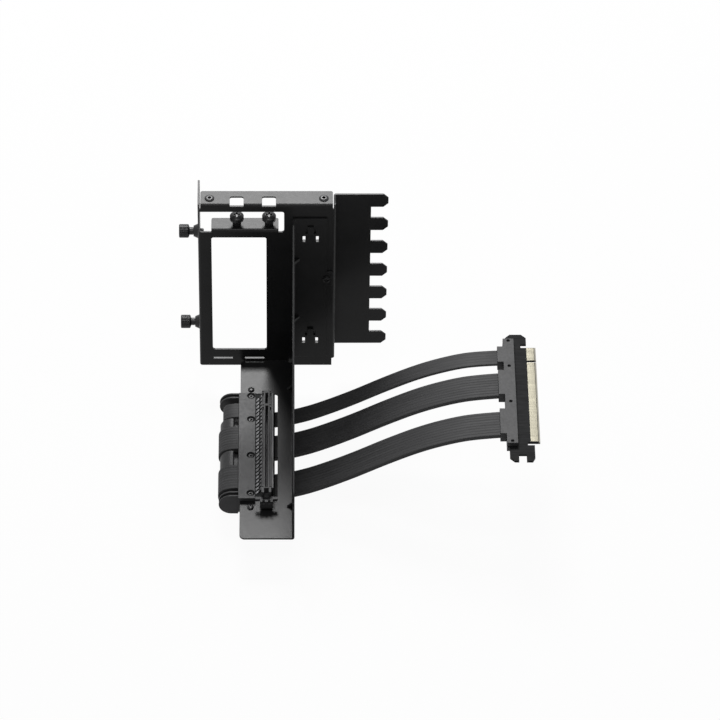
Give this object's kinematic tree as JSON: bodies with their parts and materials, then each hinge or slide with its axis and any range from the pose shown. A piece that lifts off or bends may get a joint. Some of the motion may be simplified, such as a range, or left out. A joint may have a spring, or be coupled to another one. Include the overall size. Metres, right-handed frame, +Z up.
{
  "type": "vertical gpu bracket",
  "caption": "Folded black steel bracket that holds a graphics card upright in a case, with a riser slot on a tray, flat ribbon cables and an edge plug.",
  "frame": {"origin": "centre of the comb's rear face, which lies on the case's card openings", "axes": "+X along the comb's tongues, +Y out of the rear of the case, +Z up along the plate"},
  "size_m": [0.2263, 0.1794, 0.1548],
  "materials": {
    "black_steel": "black powder coat",
    "black_metal": "black oxide",
    "black_plastic": "moulded, fine matte",
    "board": "black solder mask",
    "ribbon": "ribbed black cable jacket",
    "steel": "plated",
    "gold": "gold plate"
  },
  "bodies": {
    "frame": {"mounting_bracket": "black_steel", "support_arm": "black_steel", "flange_rivets": "black_metal", "arm_screw": "black_metal", "case_collar_lower": "black_metal", "case_collar_upper": "black_metal", "riser_board": "board", "slot_housing": "black_plastic", "slot_contacts": "steel", "slot_shield": "steel", "riser_carrier": "black_plastic", "riser_cover": "black_plastic", "cover_screws": "black_metal", "tray_screws": "black_metal", "loop_guide": "black_plastic", "ribbon_far": "ribbon", "ribbon_middle": "ribbon", "ribbon_near": "ribbon", "plug_board": "board", "plug_fingers": "gold", "plug_clamp_upper": "black_plastic", "plug_clamp_lower": "black_plastic", "plug_rivets": "black_metal"},
    "card_thumbscrew_left": {"card_thumbscrew_left": "black_metal"},
    "card_thumbscrew_right": {"card_thumbscrew_right": "black_metal"},
    "case_thumbscrew_lower": {"case_thumbscrew_lower": "black_metal"},
    "case_thumbscrew_upper": {"case_thumbscrew_upper": "black_metal"},
    "slot_latch": {"slot_latch": "black_plastic"}
  },
  "joints": [
    {"name": "card_screw_left_turn", "type": "hinge", "parent": "frame", "child": "card_thumbscrew_left", "pos_m": [-0.07354, -0.01065, 0.04975], "axis": [0, 0, 1], "continuous": true},
    {"name": "card_screw_right_turn", "type": "hinge", "parent": "frame", "child": "card_thumbscrew_right", "pos_m": [-0.05322, -0.01065, 0.04975], "axis": [0, 0, 1], "continuous": true},
    {"name": "case_screw_lower_turn", "type": "hinge", "parent": "frame", "child": "case_thumbscrew_lower", "pos_m": [-0.10135, 0.00135, -0.0491], "axis": [1, 0, 0], "continuous": true},
    {"name": "case_screw_upper_turn", "type": "hinge", "parent": "frame", "child": "case_thumbscrew_upper", "pos_m": [-0.10135, 0.00135, 0.03218], "axis": [1, 0, 0], "continuous": true},
    {"name": "slot_latch_tilt", "type": "hinge", "parent": "frame", "child": "slot_latch", "pos_m": [-0.05485, -0.14535, -0.0631], "axis": [1, 0, 0], "range_deg": [0, 20]}
  ]
}
